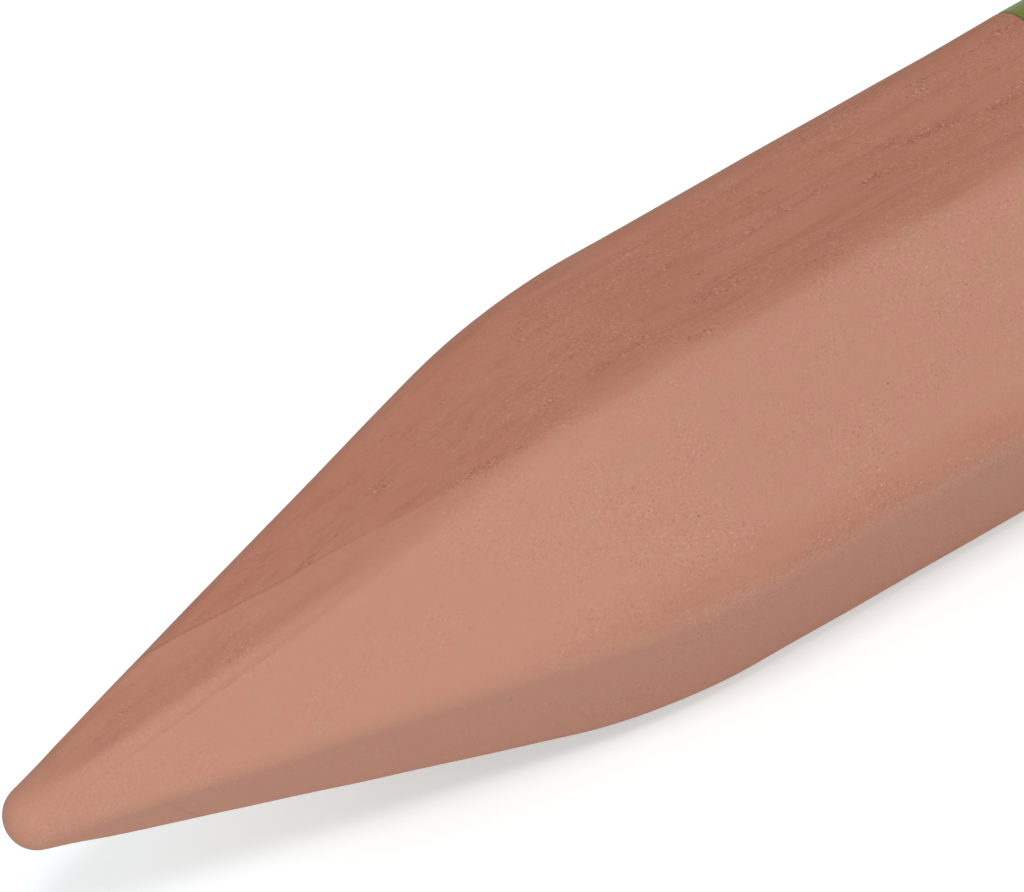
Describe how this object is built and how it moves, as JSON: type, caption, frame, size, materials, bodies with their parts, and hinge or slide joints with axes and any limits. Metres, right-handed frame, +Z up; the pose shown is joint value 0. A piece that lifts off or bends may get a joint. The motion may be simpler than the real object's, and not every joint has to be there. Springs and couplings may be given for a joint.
{
  "type": "self watering spike",
  "caption": "Hexagonal porous clay watering spike with a green collar and a screw head that takes an upturned drinks bottle, lying on one flat.",
  "frame": {"origin": "centre of the bounding box in X and Y, on the plane that the spike lies on", "axes": "+X along the spike from the nose to the mouth of the head, +Z up, with one flat of the hexagon down on Z zero"},
  "size_m": [0.1606, 0.0376, 0.034],
  "materials": {
    "terracotta": "unglazed fired terracotta, fine sandy surface",
    "green_plastic": "moulded polypropylene with a fine matte grain",
    "seal_rubber": "moulded black rubber",
    "pale_plastic": "moulded natural polypropylene"
  },
  "bodies": {
    "spike": {"clay_spike": "terracotta", "neck_sleeve": "seal_rubber", "collar": "green_plastic"},
    "gasket": {"head_gasket": "seal_rubber"},
    "head": {"bottle_head": "green_plastic", "bottle_washer": "seal_rubber"},
    "strainer": {"strainer": "pale_plastic"}
  },
  "joints": [
    {"name": "head_lift", "type": "slide", "parent": "spike", "child": "gasket", "axis": [1, 0, 0], "range_m": [0, 0.006]},
    {"name": "head_turn", "type": "hinge", "parent": "gasket", "child": "head", "pos_m": [0.06465, 0, 0.017], "axis": [1, 0, 0], "range_deg": [0, 540]},
    {"name": "strainer_lift", "type": "slide", "parent": "head", "child": "strainer", "axis": [1, 0, 0], "range_m": [0, 0.04]}
  ],
  "couplings": [
    {"joint": "head_lift", "follows": "head_turn", "m_per_rad": 0.00063661}
  ]
}
